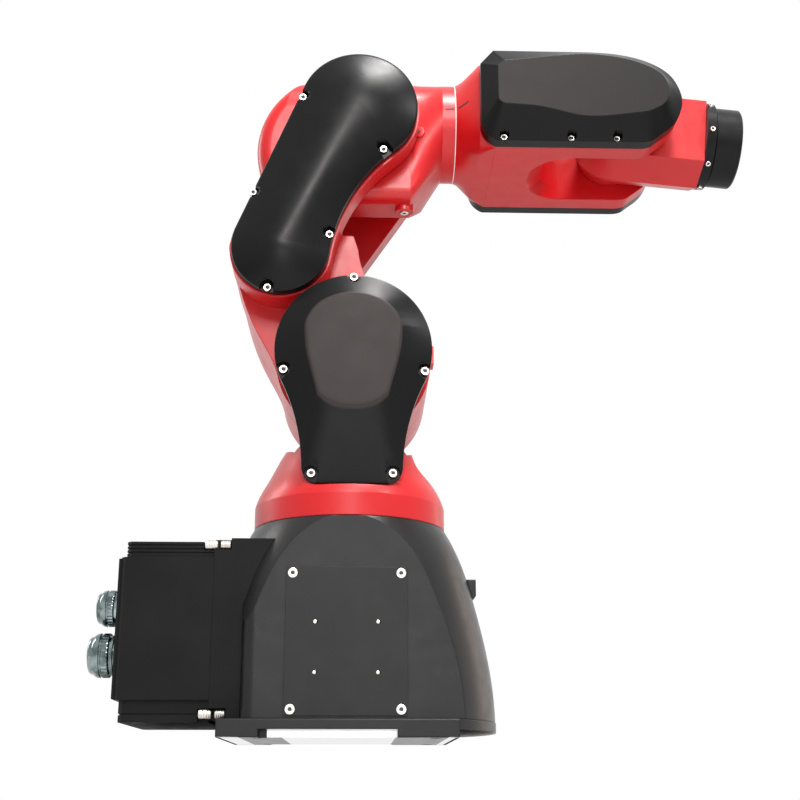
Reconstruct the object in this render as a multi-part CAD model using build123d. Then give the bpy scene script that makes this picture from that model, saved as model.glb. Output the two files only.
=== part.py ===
from build123d import *
from math import atan2, cos, degrees, hypot, radians, sin, sqrt
import os

# A six-axis industrial robot arm, in millimetres.
# The origin is on the waist axis at the mounting plane, +X points forward and +Z up.
# The right side, which carries the long covers, is towards -Y.

# Base plate and bell-shaped housing
base_width = 200
plate_rear_x = -115
plate_front_x = 100
plate_height = 16
foot_recess_height = 7
foot_recess_rear_x = -78
foot_recess_front_x = 45
foot_recess_depth = 14
bolt_spacing = 160
bolt_hole_r = 5.5
bolt_hole_depth = 34
housing_flat_y = 93
housing_rear_x = -96
housing_corner_r = 12
housing_top_z = 200
bell_profile = [(140.8, 16), (137.5, 57.5), (123.4, 124), (109, 170.5), (94, 200)]
ring_r = 94

# Service panels on the two flats of the housing
panel_width = 111
panel_height = 132.8
panel_centre_x = -1
panel_centre_z = 85
panel_thickness = 2
panel_corner = 2
panel_screw_spacing_x = 99
panel_screw_spacing_z = 121.5
screw_head_r = 4.8
screw_head_depth = 1.2
panel_hole_spacing_x = 57
panel_hole_spacing_z = 45
panel_hole_centre_z = 79
panel_hole_r = 1.6
panel_hole_depth = 10

# Connector box behind the housing
box_rear_x = -209.5
box_front_x = -124
box_half_y = 80
box_bottom_z = 13.7
box_top_z = 177
box_face_bottom_z = 33
box_face_top_z = 162
box_edge = 4
box_band_inset = 4
box_groove_height = 1.4
box_groove_depth = 1
box_groove_heights = [20, 166, 169.5, 173]
neck_top_z = 180
neck_front_x = -60
end_plate_thickness = 2.5
clamp_screw_r = 4.6
clamp_screw_inset = 5
clamp_screw_clearance = 0.1
clamp_notch_margin = 1
end_plate_margin = 1
clamp_screw_low_z = 21
clamp_screw_high_z = 174
clamp_screw_spans = [(-133, -121.5), (-118.5, -109.5)]

# Round connectors on the end plate: y, z, barrel radius, length
connector_upper = (-28, 121, 18, 21)
connector_lower = (-28, 77, 21.5, 27)

# Shape of a connector from its seat outwards, as parts of its radius and its length
connector_profile = [(1.02, 0), (1.02, 0.14), (0.84, 0.2), (0.84, 0.34), (1, 0.38), (1, 0.72)]
connector_profile += [(0.86, 0.78), (0.8, 0.94), (0.6, 1)]

# Lug at the front of the housing
lug_root_x = 90
lug_tip_x = 124
lug_half_y = 12
lug_bottom_z = 131
lug_top_z = 153
lug_slope = 6
lug_slope_z = 137

# Waist bearing and turret, whose profiles give heights above the ring
running_gap = 0.4
bearing_inner_r = 58
bearing_outer_r = 84
bearing_bottom_z = 192
bearing_top_z = 204
turret_ring_top_z = 222
turret_front = [(87.5, 14.8), (77, 25), (66.5, 35.3), (61.5, 47.7), (58.5, 62.2), (57.5, 68)]
turret_rear = [(-52, 68), (-62.5, 61), (-72, 45.6), (-81.5, 27), (-91, 9)]
turret_cone = [(91, 9), (81.5, 27), (72, 45.6), (62.5, 61), (56, 68)]
saddle_r = 110
cheek_outer_y = -75
cheek_inner_y = -44
cheek_inset = 3
seat_margin = 3

# Shoulder axis (joint 2) and its cover
shoulder_x = 2.5
shoulder_z = 366
shoulder_cover_r = 76.5
shoulder_cover_angle = -27
shoulder_cover_mid = (54.5, -72)
shoulder_cover_foot = (48, -118)
shoulder_cover_bottom = -133
shoulder_cover_corner = 15
shoulder_rim = 9
shoulder_bevel_inset = 5
shoulder_cover_height = 20
shoulder_panel_r = 54
shoulder_panel_angle = 22
shoulder_panel_mid = (42, -18)
shoulder_panel_foot = (33, -46)
shoulder_panel_bottom = -60
shoulder_panel_corner = 6
shoulder_screws = [(-0.2, 76.7), (-67.2, -21.5), (69.3, -22.1), (-38.7, -124.1), (38.5, -123.6)]
shoulder_screw_r = 5.2
shoulder_screw_floor = 5
shoulder_shaft_r = 30
shoulder_shaft_y = 70
bore_clearance = 0.3

# Upper arm, with points given from the shoulder axis
upper_arm_length = 261
elbow_lean_x = 3.5
hub_r = 77
hub_far_y = 100
hub_near_y = -40
hub_cap_margin = 9
hub_cap_height = 5
trunk_rear = [(-74.4, -20), (-80, -2), (-91, 19), (-102, 40), (-111, 62), (-117.5, 83)]
trunk_rear += [(-122.5, 101), (-128.5, 125)]
trunk_top = [(-121.5, 140), (-102.5, 152), (-62.5, 158), (-2.5, 140)]
trunk_front = [(3.5, 122), (9.5, 96), (32.5, 62)]
trunk_far_y = 94
lug_lobe_r = 58
belt_lobe_r = 47
belt_lobe = (-73.5, 107)
waist_curve_r = 180
arm_plate_near_y = -74
arm_plate_inner_y = -47
belt_rim_height = 7
belt_rim_step = 1.5
belt_cover_height = 24
belt_cover_round = 16
belt_screws = [(-54.7, 273), (-102.6, 165.1), (-85.2, 63.1), (-25.1, 120.4), (28.4, 215.1)]
belt_screw_r = 4.6
belt_screw_floor = 5
stop_boss_low = (66, -20, 6)
stop_boss_high = (81.5, 0, 25)
flange_margin = 4
elbow_clear_r = 124

# Lug on the far side of the elbow
far_lug_inner_y = 60
far_lug_outer_y = 88
far_lug_r = 70
far_lug_root = (-72.5, 104)
far_lug_root_r = 46
elbow_cap_margin = 8
elbow_cap_height = 6

# Elbow axis (joint 3) and elbow casting, with points given from the elbow axis
elbow_near_y = -44
elbow_far_y = 52
elbow_shaft_r = 24
elbow_shaft_inset = 6
elbow_rear = (-15, -24)
elbow_rear_r = 92.5
elbow_bottom = -83.5
elbow_front = 54
elbow_heel = -66
elbow_heel_turn = (-92, -71)
elbow_near_round = 15
elbow_top_round = 46
elbow_bevel_y = 2
elbow_bevel_rise = 34
forearm_rise = 14
tube_r = 52
tube_start_x = 94
tube_end_x = 107.5
elbow_throat_round = 14
elbow_boss = (48, -22)
elbow_boss_r = 9.5
elbow_boss_height = 5

# Forearm (joint 4) and its covers, whose outlines give X and the height from the forearm axis
fork_arm_half = 72.5
fork_gap_half = 50
fork_root_x = 205
fork_root_round = 28
fork_flare_height = 15
fork_flare_x = 187
fork_flare_round = 46
lid_left = [(131, -31), (131, 37)]
lid_top = [(144.5, 52.5), (226, 52.5)]
lid_nose = [(226, 52.5), (279, 49.5), (312, 39), (329, 26), (337, 11), (339.5, -2)]
lid_nose += [(337, -15), (328, -31), (312, -44), (292, -50.6)]
lid_bottom = [(292, -50.6), (147, -50.6)]
lid_rim = 15
lid_height = 31
panel_left = [(147.4, -11), (147.4, 26)]
panel_top = [(154.5, 32), (222, 40)]
panel_nose = [(222, 40), (253, 40), (279, 36), (301, 28.5), (317, 17), (322, 1)]
panel_nose += [(318, -13), (307, -20.5), (292, -25)]
panel_bottom = [(292, -25), (251, -30), (231, -29.5), (210, -24.5), (188, -19.5), (155, -17)]
corner_swell = 0.14
lid_screw_x = [154, 223, 270]
lid_screw_height = -45.5
lid_screw_r = 4.8
lid_screw_floor = 8
neck_root_x = 131
neck_root_round = 22
neck_end_x = 146
neck_end_round = 4
forearm_bearing_r = 30
forearm_bearing_depth = 20
forearm_bearing_reach = 15

# Wrist (joint 5) and tool flange (joint 6)
wrist_x = 285
wrist_tilt = 5.5
wrist_side_y = 36
wrist_side_half = 36
wrist_ridge_half = 50.5
wrist_collar_r = 33
wrist_half_y = 48.5
wrist_pin_r = 18
wrist_pin_depth = 16
wrist_pin_margin = 6
snout_end = 92
flange_ring_r = 46.5
flange_ring_length = 10
tool_flange_r = 42.5
tool_flange_length = 28.6
tool_flange_chamfer = 1.5
tool_pitch_circle = 50
tool_hole_r = 3
tool_hole_depth = 10
tool_bore_r = 15.75
tool_bore_depth = 6
tool_shaft_r = 20
tool_shaft_depth = 6

shoulder = (shoulder_x, shoulder_z)
elbow = (shoulder_x + elbow_lean_x, shoulder_z + sqrt(upper_arm_length**2 - elbow_lean_x**2))
forearm_z = elbow[1] + forearm_rise
wrist_axis = Vector(cos(radians(wrist_tilt)), 0, -sin(radians(wrist_tilt)))


def slab(sketch, low_y, high_y):
    """A sketch in X and Z, given a thickness from low_y to high_y."""
    face = Plane.XZ.offset(-low_y) * sketch
    return extrude(face, amount=high_y - low_y, dir=(0, 1, 0))


def disc(centre, r, low_y, high_y):
    """A round slab about an axis along Y."""
    return slab(Pos(centre[0], centre[1]) * Circle(r), low_y, high_y)


def block(low, high):
    """A box between two corners."""
    size = [b - a for a, b in zip(low, high)]
    return Pos(*low) * Box(*size, align=(Align.MIN, Align.MIN, Align.MIN))


def polar(centre, r, angle):
    """The point at a distance and an angle in degrees from a centre."""
    return (centre[0] + r * cos(radians(angle)), centre[1] + r * sin(radians(angle)))


def two_lobes(low, low_r, high, high_r, waist_r):
    """Two circles joined by a straight tangent on the left and a hollow curve on the right."""
    dx = high[0] - low[0]
    dz = high[1] - low[1]
    length = hypot(dx, dz)
    lean = degrees(atan2(dz, dx))
    tangent = lean + 90 + degrees(atan2(high_r - low_r, length))
    along = ((low_r + waist_r)**2 - (high_r + waist_r)**2 + length**2) / (2 * length)
    aside = sqrt((low_r + waist_r)**2 - along**2)
    foot = polar(low, along, lean)
    waist = polar(foot, aside, lean - 90)
    low_angle = degrees(atan2(waist[1] - low[1], waist[0] - low[0]))
    high_angle = degrees(atan2(waist[1] - high[1], waist[0] - high[0]))
    left_low = polar(low, low_r, tangent)
    left_high = polar(high, high_r, tangent)
    right_low = polar(low, low_r, low_angle)
    right_high = polar(high, high_r, high_angle)
    waist_mid = polar(waist, waist_r, (low_angle + high_angle) / 2 + 180)
    low_mid = polar(low, low_r, (tangent + low_angle + 360) / 2)
    high_mid = polar(high, high_r, (tangent + high_angle) / 2)
    edges = [
        Line(left_high, left_low),
        ThreePointArc(left_low, low_mid, right_low),
        ThreePointArc(right_low, waist_mid, right_high),
        ThreePointArc(right_high, high_mid, left_high),
    ]
    return make_face(edges)


def placed(points, origin):
    """Points given from an origin, moved to their place."""
    return [(origin[0] + x, origin[1] + z) for x, z in points]


def arm_lobes(grow):
    """The outline of the belt side of the upper arm, grown by a margin."""
    low = placed([belt_lobe], shoulder)[0]
    return two_lobes(low, belt_lobe_r + grow, elbow, lug_lobe_r + grow, waist_curve_r - grow)


def keyhole(arc_r, arc_angle, mid, foot, bottom, corner_r):
    """A round top that tapers through hollow sides to a straight foot, about the shoulder axis."""
    right = polar((0, 0), arc_r, arc_angle)
    corner = (foot[0] - corner_r, bottom)
    turn = (foot[0] - corner_r * 0.3, bottom + corner_r * 0.3)
    edges = [
        ThreePointArc((-right[0], right[1]), (0, arc_r), right),
        ThreePointArc(right, mid, foot),
        ThreePointArc(foot, turn, corner),
        Line(corner, (-corner[0], bottom)),
        ThreePointArc((-corner[0], bottom), (-turn[0], turn[1]), (-foot[0], foot[1])),
        ThreePointArc((-foot[0], foot[1]), (-mid[0], mid[1]), (-right[0], right[1])),
    ]
    return Pos(*shoulder) * make_face(edges)


def shoulder_outline(grow):
    """The outline of the shoulder cover, grown by a margin."""
    mid = (shoulder_cover_mid[0] + grow, shoulder_cover_mid[1])
    foot = (shoulder_cover_foot[0] + grow, shoulder_cover_foot[1])
    bottom = shoulder_cover_bottom - grow
    corner = shoulder_cover_corner + grow
    return keyhole(shoulder_cover_r + grow, shoulder_cover_angle, mid, foot, bottom, corner)


def rod(r, low, high, centre=(0, 0)):
    """An upright cylinder between two heights."""
    cylinder = Cylinder(r, high - low, align=(Align.CENTER, Align.CENTER, Align.MIN))
    return Pos(centre[0], centre[1], low) * cylinder


def base_plate():
    half = base_width / 2
    nose = Circle(hypot(plate_front_x, half))
    nose &= Pos(plate_front_x + half, 0) * Rectangle(base_width, base_width)
    length = plate_front_x - plate_rear_x
    deck = Pos(plate_rear_x + length / 2, 0) * Rectangle(length, base_width)
    plate = extrude(deck, amount=plate_height)
    plate += Pos(0, 0, foot_recess_height) * extrude(nose, amount=plate_height - foot_recess_height)
    for low_y in (-half, half - foot_recess_depth):
        low = (foot_recess_rear_x, low_y, 0)
        plate -= block(low, (foot_recess_front_x, low_y + foot_recess_depth, foot_recess_height))
    return plate - mounting_holes()


def mounting_holes():
    half = bolt_spacing / 2
    corners = [(x, y) for x in (-half, half) for y in (-half, half)]
    return Part() + [rod(bolt_hole_r, 0, bolt_hole_depth, corner) for corner in corners]


def bell():
    edges = [
        Spline(*bell_profile),
        Line(bell_profile[-1], (0, housing_top_z)),
        Line((0, housing_top_z), (0, plate_height)),
        Line((0, plate_height), bell_profile[0]),
    ]
    return revolve(Plane.XZ * make_face(edges), Axis.Z)


def trimmed_bell():
    """The bell with its two flat sides and its flat, round-cornered back."""
    low = (housing_rear_x, -housing_flat_y, plate_height)
    trim = block(low, (2 * base_width, housing_flat_y, housing_top_z))
    rear_edges = trim.edges().filter_by(Axis.Z).group_by(Axis.X)[0]
    return bell() & fillet(rear_edges, housing_corner_r)


def base_housing():
    body = trimmed_bell()
    seat = rod(bearing_outer_r, bearing_bottom_z, housing_top_z) - rod(bearing_inner_r, 0, housing_top_z)
    return body - seat - mounting_holes() - panel_holes(-housing_flat_y, panel_hole_depth)


def panel_holes(start_y, depth):
    """The four small holes of a side panel, running from start_y by depth along Y."""
    low, high = sorted((start_y, start_y + depth))
    holes = Part()
    for x in (-1, 1):
        for z in (-1, 1):
            centre = (x * panel_hole_spacing_x / 2, panel_hole_centre_z + z * panel_hole_spacing_z / 2)
            holes += disc(centre, panel_hole_r, low, high)
    return holes


def side_panel(side):
    inner = side * housing_flat_y
    outer = side * (housing_flat_y + panel_thickness)
    centre = (panel_centre_x, panel_centre_z)
    sketch = Pos(*centre) * RectangleRounded(panel_width, panel_height, panel_corner)
    panel = slab(sketch, min(inner, outer), max(inner, outer))
    low, high = sorted((outer, outer - side * screw_head_depth))
    for x in (-panel_screw_spacing_x / 2, panel_screw_spacing_x / 2):
        for z in (-panel_screw_spacing_z / 2, panel_screw_spacing_z / 2):
            panel -= disc((centre[0] + x, centre[1] + z), screw_head_r, low, high)
    return panel - panel_holes(-housing_flat_y, -panel_thickness) if side < 0 else panel


def lying_rod(r, low_x, high_x):
    """A cylinder along X."""
    align = (Align.CENTER, Align.CENTER, Align.MIN)
    return Pos(low_x, 0, 0) * Cylinder(r, high_x - low_x, rotation=(0, 90, 0), align=align)


def clamp_notches():
    """The corner notches of the connector box that the clamp screws lie in."""
    low_x = clamp_screw_spans[0][0] - clamp_notch_margin
    high_x = clamp_screw_spans[-1][1] + clamp_notch_margin
    depth = 2 * clamp_screw_inset
    reach = clamp_screw_r + clamp_screw_clearance
    notches = Part()
    for low_y in (-box_half_y, box_half_y - depth):
        notches += block((low_x, low_y, clamp_screw_high_z - reach), (high_x, low_y + depth, neck_top_z))
        notches += block((low_x, low_y, 0), (high_x, low_y + depth, clamp_screw_low_z + reach))
    return notches


def box_bar(low_z, high_z, inset):
    """A layer of the connector box, held back from its rear and sides by an inset."""
    half = box_half_y - inset
    layer = block((box_rear_x + inset, -half, low_z), (box_front_x, half, high_z))
    return chamfer(layer.edges().filter_by(Axis.Z).group_by(Axis.X)[0], box_edge)


def connector_box():
    box = box_bar(box_face_bottom_z, box_face_top_z, 0)
    box += box_bar(box_bottom_z, box_face_bottom_z, box_band_inset)
    box += box_bar(box_face_top_z, box_top_z, box_band_inset)
    for z in box_groove_heights:
        groove = box_bar(z, z + box_groove_height, 0)
        box -= groove - box_bar(z, z + box_groove_height, box_band_inset + box_groove_depth)
    return box - clamp_notches()


def box_neck():
    neck = block((box_front_x, -box_half_y, plate_height), (neck_front_x, box_half_y, neck_top_z))
    return neck - trimmed_bell() - clamp_notches()


def box_end_plate():
    half = box_half_y - box_edge
    low = (box_rear_x - end_plate_thickness, -half, box_face_bottom_z + end_plate_margin)
    return block(low, (box_rear_x, half, box_face_top_z - end_plate_margin))


def clamp_screws():
    screws = Part()
    for low_x, high_x in clamp_screw_spans:
        for y in (-box_half_y + clamp_screw_inset, box_half_y - clamp_screw_inset):
            for z in (clamp_screw_low_z, clamp_screw_high_z):
                screws += Pos(0, y, z) * lying_rod(clamp_screw_r, low_x, high_x)
    return screws


def connector(spec):
    """A round plug connector: flange, barrel with two collars and a domed cap."""
    y, z, r, length = spec
    profile = [(0, 0)] + [(r * across, length * along) for across, along in connector_profile] + [(0, length)]
    solid = revolve(Plane.XZ * make_face(Polyline(*profile, close=True)), Axis.Z)
    seat = Plane(origin=(box_rear_x - end_plate_thickness, y, z), x_dir=(0, 1, 0), z_dir=(-1, 0, 0))
    return seat * solid


def front_lug():
    points = [(lug_root_x, lug_top_z), (lug_tip_x, lug_top_z), (lug_tip_x, lug_slope_z)]
    points += [(lug_tip_x - lug_slope, lug_bottom_z), (lug_root_x, lug_bottom_z)]
    lug = slab(make_face(Polyline(*points, close=True)), -lug_half_y, lug_half_y)
    return lug - bell()


def waist_bearing():
    ring = rod(bearing_outer_r, bearing_bottom_z, bearing_top_z)
    return ring - rod(bearing_inner_r, bearing_bottom_z, bearing_top_z)


def turret_body():
    """A round body shaped by its side view, with a saddle for the arm and one cheek."""
    bottom = housing_top_z + running_gap
    ring_top = (0, turret_ring_top_z)
    front = placed([(ring_r, 0), *turret_front], ring_top)
    rear = placed([*turret_rear, (-ring_r, 0)], ring_top)
    edges = [
        Line((-ring_r, bottom), (ring_r, bottom)),
        Line((ring_r, bottom), front[0]),
        Spline(*front),
        Line(front[-1], rear[0]),
        Spline(*rear),
        Line(rear[-1], (-ring_r, bottom)),
    ]
    body = slab(make_face(edges), -ring_r, ring_r)
    cone = placed([(ring_r, 0), *turret_cone], ring_top)
    cone_edges = [
        Line((0, bottom), (ring_r, bottom)),
        Line((ring_r, bottom), cone[0]),
        Spline(*cone),
        Line(cone[-1], (0, cone[-1][1])),
        Line((0, cone[-1][1]), (0, bottom)),
    ]
    body &= revolve(Plane.XZ * make_face(cone_edges), Axis.Z)
    body -= disc(shoulder, saddle_r, cheek_inner_y, ring_r)
    body += slab(shoulder_outline(-cheek_inset), cheek_outer_y, cheek_inner_y)
    body -= slab(shoulder_outline(seat_margin), -ring_r, cheek_outer_y)
    recess = rod(bearing_outer_r + running_gap, bottom, bearing_top_z + running_gap)
    body -= recess - rod(bearing_inner_r - running_gap, bottom, bearing_top_z + running_gap)
    return body - disc(shoulder, shoulder_shaft_r, -shoulder_shaft_y, 0)


def screw_slots(places, r, floor_y):
    """Round slots that open towards the right side and end at a floor."""
    return Part() + [disc(place, r, floor_y - 2 * lid_height, floor_y) for place in places]


def shoulder_cover():
    """A flat rim with a raised panel on it, joined by a sloping bevel."""
    low = cheek_outer_y
    rim = low - shoulder_rim
    cover = slab(shoulder_outline(0), rim, low)
    foot = Plane.XZ.offset(-rim) * shoulder_outline(-shoulder_bevel_inset)
    panel = keyhole(shoulder_panel_r, shoulder_panel_angle, shoulder_panel_mid, shoulder_panel_foot,
                    shoulder_panel_bottom, shoulder_panel_corner)
    cover += loft([foot, Plane.XZ.offset(shoulder_cover_height - low) * panel])
    slots = screw_slots(placed(shoulder_screws, shoulder), shoulder_screw_r, low - shoulder_screw_floor)
    return cover - slots


def shoulder_shaft():
    return disc(shoulder, shoulder_shaft_r, -shoulder_shaft_y, shoulder_shaft_y)


def trunk_outline():
    """The leaning trunk of the upper arm, between the hub and the elbow pocket."""
    rear = placed([*trunk_rear, *trunk_top[:2]], shoulder)
    front = placed(trunk_front, shoulder)
    edges = [
        Line(shoulder, rear[0]),
        Spline(*rear),
        Polyline(*placed(trunk_top[1:], shoulder), front[0]),
        Spline(*front),
        Line(front[-1], shoulder),
    ]
    return make_face(edges)


def upper_arm_casting():
    """The hub, the trunk and the plate under the belt cover, with a pocket for the elbow."""
    arm = disc(shoulder, hub_r, hub_near_y, hub_far_y)
    arm += slab(trunk_outline(), hub_near_y, trunk_far_y)
    offset = Vector(shoulder[0], 0, shoulder[1])
    arm += block(offset + Vector(stop_boss_low), offset + Vector(stop_boss_high))
    arm += slab(arm_lobes(flange_margin), arm_plate_near_y, hub_near_y)
    arm -= disc(elbow, elbow_clear_r, arm_plate_inner_y, trunk_far_y)
    arm -= slab(far_lug_outline(), far_lug_inner_y, trunk_far_y)
    arm -= disc(shoulder, shoulder_shaft_r + bore_clearance, hub_near_y, shoulder_shaft_y + bore_clearance)
    return arm - elbow_shaft()


def far_lug_outline():
    root = placed([far_lug_root], shoulder)[0]
    return make_hull((Pos(*elbow) * Circle(far_lug_r) + Pos(*root) * Circle(far_lug_root_r)).edges())


def far_lug():
    return slab(far_lug_outline(), far_lug_inner_y, far_lug_outer_y) - elbow_shaft()


def belt_cover():
    """A straight rim, a small step and a dome over it, with slots for the screws."""
    low = arm_plate_near_y
    cover = slab(arm_lobes(-belt_rim_step), low - belt_cover_height, low)
    cover = fillet(cover.edges().group_by(Axis.Y)[0], belt_cover_round)
    cover += slab(arm_lobes(0), low - belt_rim_height, low)
    return cover - screw_slots(placed(belt_screws, shoulder), belt_screw_r, low - belt_screw_floor)


def far_cap(centre, r, seat_y, height):
    """A round cap with a soft edge on the far side of a hub."""
    cap = disc(centre, r, seat_y, seat_y + height)
    return fillet(cap.edges().group_by(Axis.Y)[-1], height * 0.6)


def elbow_shaft():
    low = arm_plate_near_y + elbow_shaft_inset
    return disc(elbow, elbow_shaft_r, low, far_lug_outer_y - elbow_shaft_inset)


def elbow_outline():
    """The elbow casting from the side: a round back, a flat bottom and a straight front."""
    top = (elbow_rear[0], elbow_rear[1] + elbow_rear_r)
    rear = polar(elbow_rear, elbow_rear_r, 135)
    low_rear = polar(elbow_rear, elbow_rear_r, 196)
    heel = (elbow_heel, elbow_bottom)
    low_front = (elbow_front, elbow_bottom)
    high_front = (elbow_front, top[1])
    edges = [
        Line(low_front, high_front),
        Line(high_front, top),
        ThreePointArc(top, rear, low_rear),
        ThreePointArc(low_rear, elbow_heel_turn, heel),
        Line(heel, low_front),
    ]
    return Pos(*elbow) * make_face(edges)


def across_x(x, sketch):
    """A sketch in Y and Z, placed at a distance along X."""
    return Plane(origin=(x, 0, 0), x_dir=(0, 1, 0), z_dir=(1, 0, 0)) * sketch


def elbow_section():
    """The section of the elbow casting across X: a rounded top and nearly square lower corners."""
    depth = elbow_far_y - elbow_near_y
    height = elbow_rear[1] + elbow_rear_r - elbow_bottom
    section = Pos(elbow_near_y + depth / 2, elbow[1] + elbow_bottom + height / 2) * Rectangle(depth, height)
    section = fillet(section.vertices().group_by(Axis.Y)[-1], elbow_top_round)
    return fillet(section.vertices().group_by(Axis.Y)[0], elbow_throat_round)


def elbow_casting():
    body = slab(elbow_outline(), elbow_near_y, elbow_far_y)
    outer = body.edges().group_by(Axis.Y)
    body = fillet(outer[0].filter_by(GeomType.CIRCLE), elbow_near_round)
    rear_x = elbow[0] + elbow_rear[0] - elbow_rear_r
    front_x = elbow[0] + elbow_front
    bottom_z = elbow[1] + elbow_bottom
    body &= extrude(across_x(rear_x, elbow_section()), amount=front_x - rear_x)
    tube_ring = across_x(tube_start_x, Pos(0, forearm_z) * Circle(tube_r))
    body += loft([across_x(front_x, elbow_section()), tube_ring])
    bevel = [(elbow_bevel_y, bottom_z), (elbow_far_y, bottom_z + elbow_bevel_rise)]
    bevel += [(elbow_far_y, bottom_z - 1), (elbow_bevel_y, bottom_z - 1)]
    body -= extrude(across_x(rear_x, make_face(Polyline(*bevel, close=True))), amount=tube_start_x - rear_x)
    body += Pos(0, 0, forearm_z) * lying_rod(tube_r, tube_start_x, tube_end_x)
    boss_spot = (elbow[0] + elbow_boss[0], elbow_boss[1])
    body += rod(elbow_boss_r, bottom_z - elbow_boss_height, bottom_z + elbow_boss_height, boss_spot)
    body -= disc(elbow, elbow_shaft_r + bore_clearance, elbow_near_y, elbow_far_y)
    return body - forearm_bearing()


def forearm_bearing():
    low_x = tube_end_x - forearm_bearing_depth
    return Pos(0, 0, forearm_z) * lying_rod(forearm_bearing_r, low_x, tube_end_x + forearm_bearing_reach)


def outline(left, top, nose, bottom):
    """A closed outline about the forearm axis: straight left end and top, round nose, curved bottom."""
    left, top, nose, bottom = [placed(points, (0, forearm_z)) for points in (left, top, nose, bottom)]
    below = (Vector(*bottom[1]) - Vector(*bottom[0])).normalized()
    chord = Vector(*left[0]) - Vector(*bottom[-1])
    swell = Vector(*bottom[-1]) + chord * 0.5 + Vector(-abs(chord.Y), -abs(chord.X)) * corner_swell
    edges = [
        Line(left[0], left[1]),
        Line(left[1], top[0]),
        Line(top[0], top[1]),
        Spline(*nose, tangents=[Vector(*top[1]) - Vector(*top[0]), below]),
        Spline(*bottom, tangents=[below, Vector(*bottom[-1]) - Vector(*bottom[-2])]),
        ThreePointArc(bottom[-1], (swell.X, swell.Y), left[0]),
    ]
    return make_face(edges)


def lid_outline():
    return outline(lid_left, lid_top, lid_nose, lid_bottom)


def fork_gap(z, root_x, far_x, root_round):
    """The gap between the arms of the fork at a height, with a rounded root."""
    gap = Pos((root_x + far_x) / 2, 0) * Rectangle(far_x - root_x, 2 * fork_gap_half)
    return Pos(0, 0, z) * fillet(gap.vertices().group_by(Axis.X)[0], root_round)


def forearm_casting():
    """The fork: a neck that grows out of a round ring, and two arms with the wrist between."""
    start = tube_end_x + running_gap
    low_z = forearm_z + lid_bottom[-1][1]
    height = forearm_z + lid_top[0][1] - low_z
    middle = Pos(0, low_z + height / 2)
    ring = across_x(start, Pos(0, forearm_z) * Circle(tube_r))
    root = across_x(neck_root_x, middle * RectangleRounded(2 * fork_arm_half, height, neck_root_round))
    end = across_x(neck_end_x, middle * RectangleRounded(2 * fork_arm_half, height, neck_end_round))
    body = loft([ring, root]) + loft([root, end])
    body += slab(lid_outline(), -fork_arm_half, fork_arm_half)
    far_x = wrist_x + base_width
    body -= extrude(fork_gap(0, fork_root_x, far_x, fork_root_round), amount=2 * forearm_z)
    flare_foot = fork_gap(low_z, fork_flare_x, far_x, fork_flare_round)
    body -= loft([flare_foot, fork_gap(low_z + fork_flare_height, fork_root_x, far_x, fork_root_round)])
    reach = forearm_bearing_reach + bore_clearance
    body -= Pos(0, 0, forearm_z) * lying_rod(forearm_bearing_r + bore_clearance, start, tube_end_x + reach)
    return body - wrist_pin(-1) - wrist_pin(1)


def forearm_cover(side):
    """A cover on one arm of the fork: a straight rim, a raised panel and slots for screws."""
    rim = fork_arm_half + lid_rim
    top = fork_arm_half + lid_height
    cover = slab(lid_outline(), fork_arm_half, rim)
    panel = outline(panel_left, panel_top, panel_nose, panel_bottom)
    cover += loft([Plane.XZ.offset(-rim) * lid_outline(), Plane.XZ.offset(-top) * panel], ruled=True)
    for x in lid_screw_x:
        cover -= disc((x, forearm_z + lid_screw_height), lid_screw_r, fork_arm_half + lid_screw_floor, top)
    return cover if side > 0 else mirror(cover, about=Plane.XZ)


def wrist_pin(side):
    low, high = wrist_half_y - wrist_pin_depth, fork_arm_half - wrist_pin_margin
    pin = disc((wrist_x, forearm_z), wrist_pin_r, low, high)
    return pin if side > 0 else mirror(pin, about=Plane.XZ)


def wrist_plane(distance):
    """A plane square to the flange axis, at a distance from the wrist axis."""
    origin = Vector(wrist_x, 0, forearm_z) + wrist_axis * distance
    return Plane(origin=origin, x_dir=(0, 1, 0), z_dir=wrist_axis)


def wrist_rod(r, low, high):
    return extrude(wrist_plane(low) * Circle(r), amount=high - low)


def wrist_section():
    """Half of the six-sided section of the wrist: ridges above and below, flat sides."""
    return [(-wrist_side_y, 0), (-wrist_side_y, wrist_side_half), (0, wrist_ridge_half),
            (wrist_side_y, wrist_side_half), (wrist_side_y, 0)]


def wrist_housing():
    """A barrel about the wrist axis and a six-sided snout of the same section."""
    half = wrist_section()
    barrel = revolve(Plane.YZ * make_face(Polyline(*half, close=True)), Axis.Y)
    lower = [(y, -z) for y, z in reversed(half[1:-1])]
    section = make_face(Polyline(*half, *lower, close=True))
    body = Pos(wrist_x, 0, forearm_z) * barrel + extrude(wrist_plane(0) * section, amount=snout_end)
    body += disc((wrist_x, forearm_z), wrist_collar_r, -wrist_half_y, wrist_half_y)
    hole_r = wrist_pin_r + bore_clearance
    depth = wrist_pin_depth + bore_clearance
    body -= disc((wrist_x, forearm_z), hole_r, -wrist_half_y, depth - wrist_half_y)
    return body - disc((wrist_x, forearm_z), hole_r, wrist_half_y - depth, wrist_half_y)


def flange_ring():
    ring_end = snout_end + flange_ring_length
    return wrist_rod(flange_ring_r, snout_end, ring_end) - flange_hole(ring_end)


def flange_hole(end):
    return wrist_rod(tool_shaft_r + bore_clearance, end - tool_shaft_depth, end)


def flange_shaft():
    ring_end = snout_end + flange_ring_length
    return wrist_rod(tool_shaft_r, ring_end - tool_shaft_depth + bore_clearance, ring_end + running_gap)


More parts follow.
